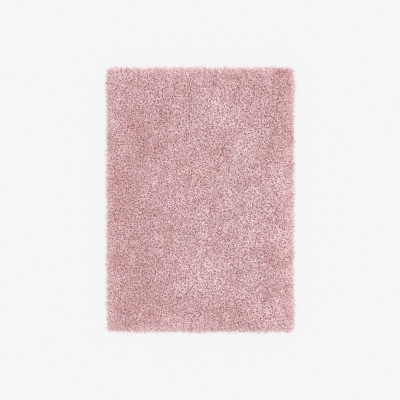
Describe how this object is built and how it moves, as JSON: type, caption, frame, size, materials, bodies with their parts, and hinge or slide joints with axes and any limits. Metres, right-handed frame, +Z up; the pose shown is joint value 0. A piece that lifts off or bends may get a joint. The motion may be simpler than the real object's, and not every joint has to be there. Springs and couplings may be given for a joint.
{
  "type": "shag rug",
  "caption": "Rectangular long-pile floor rug lying flat, with a dense soft pile, slightly rounded corners and edge tufts that droop to the floor.",
  "frame": {"origin": "centre of the flat underside, on the floor", "axes": "+X across the rug's width, +Y along its length, +Z up from the floor through the pile"},
  "size_m": [1.45, 2.05, 0.042],
  "materials": {
    "pile_yarn": "dusty pink heat-set yarn in a dense, loosely tumbled long pile",
    "ground_cloth": "plain undyed woven ground cloth, seen only from below"
  },
  "bodies": {
    "root": {"rug": "pile_yarn"}
  },
  "joints": []
}
